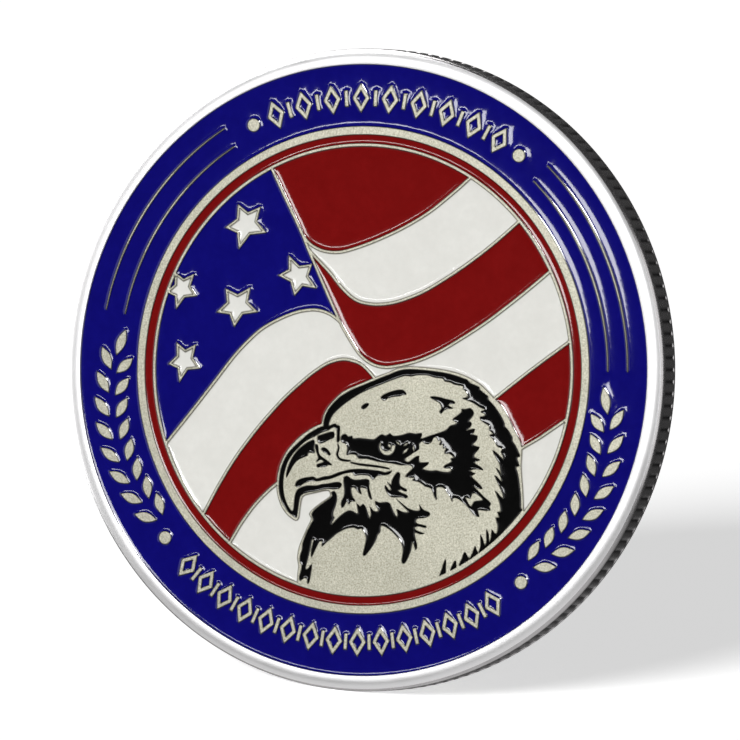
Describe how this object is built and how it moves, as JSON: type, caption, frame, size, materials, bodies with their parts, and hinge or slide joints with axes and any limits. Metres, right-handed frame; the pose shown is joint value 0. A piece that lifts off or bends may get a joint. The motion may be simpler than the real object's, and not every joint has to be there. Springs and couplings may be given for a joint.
{
  "type": "challenge coin",
  "caption": "Round struck metal coin with raised rims, a reeded edge and recessed cells filled with coloured enamel on both faces.",
  "frame": {"origin": "centre of the coin, halfway between the two rims", "axes": "-Y out of the obverse, +Z towards the top of the design, +X towards the right of the obverse; the coin stands on its edge"},
  "size_m": [0.0444, 0.0032, 0.0444],
  "materials": {
    "plated_metal": "bright silver plate: polished rim and edge, fine sandblasted relief",
    "blue_enamel": "glossy cured enamel, dark blue",
    "red_enamel": "glossy cured enamel, deep red",
    "white_enamel": "glossy cured enamel, warm white",
    "black_enamel": "glossy cured enamel, black"
  },
  "bodies": {
    "root": {"struck_body": "plated_metal", "border_enamel": "blue_enamel", "narrow_ring_enamel": "red_enamel", "canton_enamel": "blue_enamel", "star_enamel_1": "white_enamel", "star_enamel_2": "white_enamel", "star_enamel_3": "white_enamel", "star_enamel_4": "white_enamel", "star_enamel_5": "white_enamel", "red_stripe_upper": "red_enamel", "red_stripe_middle": "red_enamel", "red_stripe_lower_right": "red_enamel", "red_stripe_lower_left": "red_enamel", "white_stripe_upper": "white_enamel", "white_stripe_middle": "white_enamel", "white_stripe_lower_right": "white_enamel", "white_stripe_lower_left": "white_enamel", "eagle_outline_enamel": "black_enamel", "eagle_eye_enamel": "black_enamel", "eagle_brow_enamel": "black_enamel", "eagle_beak_enamel": "black_enamel", "eagle_mouth_enamel": "black_enamel", "eagle_cheek_enamel": "black_enamel", "eagle_throat_enamel": "black_enamel", "eagle_nape_enamel": "black_enamel", "reverse_border_enamel": "blue_enamel", "reverse_ring_enamel": "red_enamel", "reverse_star_enamel": "blue_enamel"}
  },
  "joints": []
}
